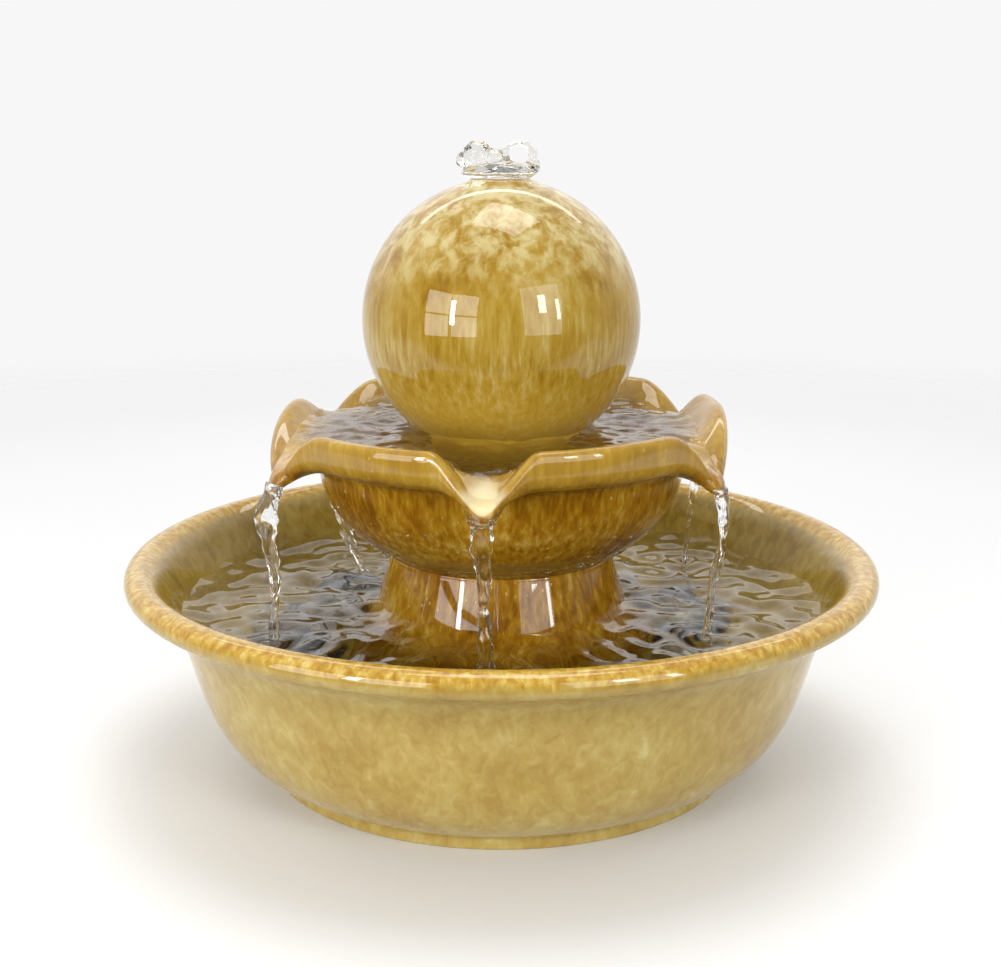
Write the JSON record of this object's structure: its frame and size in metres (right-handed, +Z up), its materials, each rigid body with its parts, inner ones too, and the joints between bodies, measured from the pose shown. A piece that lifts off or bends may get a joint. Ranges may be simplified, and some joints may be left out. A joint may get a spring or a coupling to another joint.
{
  "type": "tabletop water fountain",
  "caption": "Glazed ceramic tabletop fountain: a ball in a bowl with drooping spouts, on a hollow pedestal in a wide basin, with a small submersible pump inside.",
  "frame": {"origin": "centre of the foot ring, on the surface that the basin stands on", "axes": "+Z up along the axis of the basin and the ball, -Y towards the front spout"},
  "size_m": [0.259, 0.259, 0.2024],
  "materials": {
    "honey_glaze": "glossy mottled honey glaze",
    "amber_glaze": "glossy amber glaze with runs",
    "sand_glaze": "glossy speckled sand glaze, amber on the lip",
    "black_stone": "polished",
    "brown_stone": "polished",
    "white_stone": "polished",
    "black_plastic": "moulded",
    "grey_plastic": "moulded",
    "ferrite": "ground ferrite",
    "core_steel": "laminated",
    "copper_wire": "enamelled copper winding",
    "resin": "cast resin",
    "white_ceramic": "ground",
    "black_rubber": "moulded",
    "grey_rubber": "moulded silicone",
    "clear_tube": "clear soft tube",
    "sponge": "open-cell foam"
  },
  "bodies": {
    "basin": {"basin": "sand_glaze", "black_pebbles": "black_stone", "brown_pebbles": "brown_stone", "white_pebbles": "white_stone", "pump_housing": "black_plastic", "volute_cover": "black_plastic", "stator_core": "core_steel", "stator_coils": "copper_wire", "potting_resin": "resin", "ceramic_shaft": "white_ceramic", "shaft_bush_front": "black_rubber", "shaft_bush_rear": "black_rubber", "chamber_seal": "black_rubber", "cable_gland": "black_rubber", "suction_feet": "black_rubber", "riser_tube": "clear_tube"},
    "rotor": {"impeller": "grey_plastic", "rotor_magnet": "ferrite"},
    "intake_cover": {"intake_cover": "black_plastic", "filter_sponge": "sponge"},
    "flow_dial": {"flow_dial": "grey_plastic"},
    "pedestal": {"pedestal": "amber_glaze"},
    "upper_bowl": {"petal_bowl": "amber_glaze", "bowl_grommet": "grey_rubber"},
    "ball": {"ball": "honey_glaze", "ball_outlet": "grey_rubber"}
  },
  "joints": [
    {"name": "rotor_spin", "type": "hinge", "parent": "basin", "child": "rotor", "pos_m": [0, 0, 0.0325], "axis": [0, 1, 0], "continuous": true},
    {"name": "intake_cover_slide", "type": "slide", "parent": "basin", "child": "intake_cover", "axis": [0, -1, 0], "range_m": [0, 0.02]},
    {"name": "flow_dial_turn", "type": "hinge", "parent": "intake_cover", "child": "flow_dial", "pos_m": [0, -0.0116, 0.0325], "axis": [0, -1, 0], "range_deg": [0, 60]},
    {"name": "pedestal_lift", "type": "slide", "parent": "basin", "child": "pedestal", "axis": [0, 0, 1], "range_m": [0, 0.195]},
    {"name": "bowl_lift", "type": "slide", "parent": "pedestal", "child": "upper_bowl", "axis": [0, 0, 1], "range_m": [0, 0.13]},
    {"name": "ball_lift", "type": "slide", "parent": "upper_bowl", "child": "ball", "axis": [0, 0, 1], "range_m": [0, 0.125]}
  ]
}
